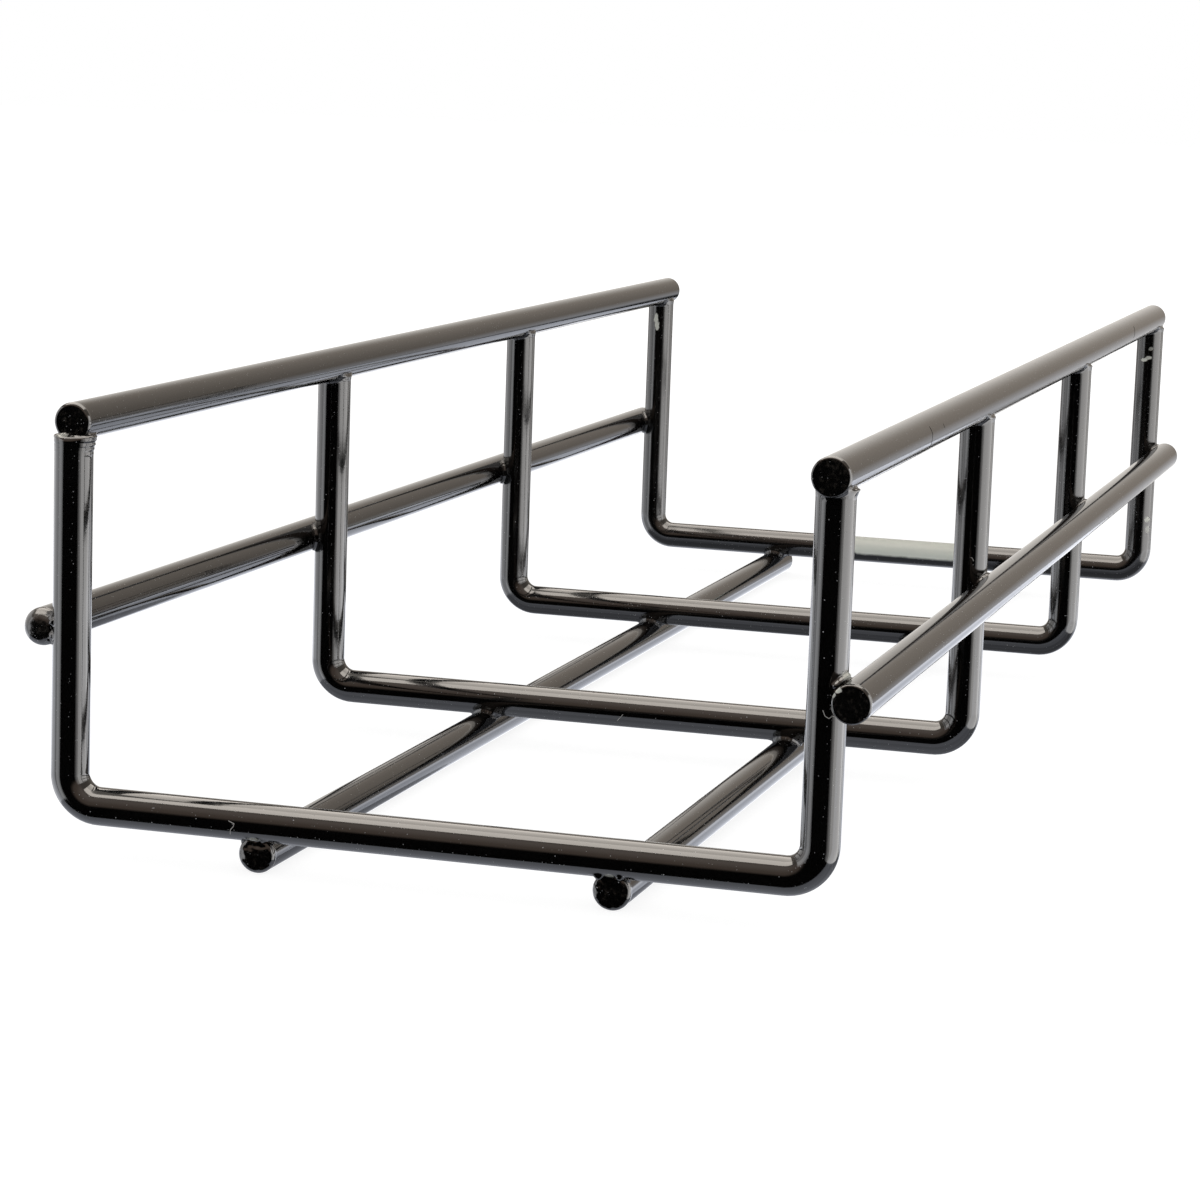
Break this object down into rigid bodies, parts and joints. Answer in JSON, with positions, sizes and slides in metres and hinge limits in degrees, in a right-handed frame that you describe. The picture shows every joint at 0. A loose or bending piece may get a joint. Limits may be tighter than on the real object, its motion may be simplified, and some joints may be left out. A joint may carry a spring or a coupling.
{
  "type": "wire mesh cable basket",
  "caption": "Straight U-shaped cable basket of round steel wire, gloss black coated, with bent cross wires welded to straight lengthwise wires.",
  "frame": {"origin": "under the middle of the tray, on the level that the two bottom wires rest on", "axes": "+Y along the tray from the end seen nearest to the far end, +Z out of the open top, +X to the right-hand wall seen from the near end"},
  "size_m": [0.1194, 0.312, 0.0623],
  "materials": {
    "black_powder_coat": "smooth gloss black powder coat over steel wire"
  },
  "bodies": {
    "root": {"cross_wire_1": "black_powder_coat", "cross_wire_2": "black_powder_coat", "cross_wire_3": "black_powder_coat", "cross_wire_4": "black_powder_coat", "top_wire_left": "black_powder_coat", "top_wire_right": "black_powder_coat", "side_wire_left": "black_powder_coat", "side_wire_right": "black_powder_coat", "bottom_wire_left": "black_powder_coat", "bottom_wire_right": "black_powder_coat"}
  },
  "joints": []
}
